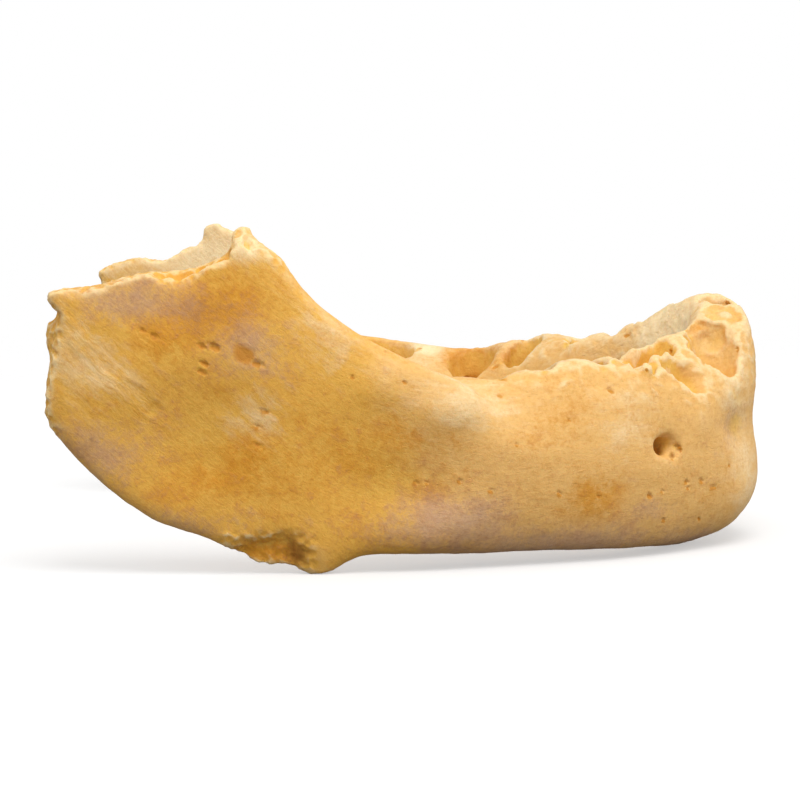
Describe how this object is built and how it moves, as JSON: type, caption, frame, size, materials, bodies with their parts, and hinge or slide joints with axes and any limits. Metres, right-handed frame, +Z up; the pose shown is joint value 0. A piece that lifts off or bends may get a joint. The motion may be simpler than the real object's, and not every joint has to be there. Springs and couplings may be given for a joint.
{
  "type": "juvenile human mandible",
  "caption": "Dry lower jawbone of a young child, curved like a horseshoe, its teeth lost, its sockets open and the tops of both rami broken away.",
  "frame": {"origin": "on the table, under the middle of the bone's bounding box", "axes": "+X towards the chin, +Y towards the bone's left side, +Z up from the table towards the tooth sockets"},
  "size_m": [0.0739, 0.0679, 0.0347],
  "materials": {
    "bone": "matt, dry, slightly porous bone, ochre with paler worn ridges"
  },
  "bodies": {
    "root": {"mandible": "bone"}
  },
  "joints": []
}
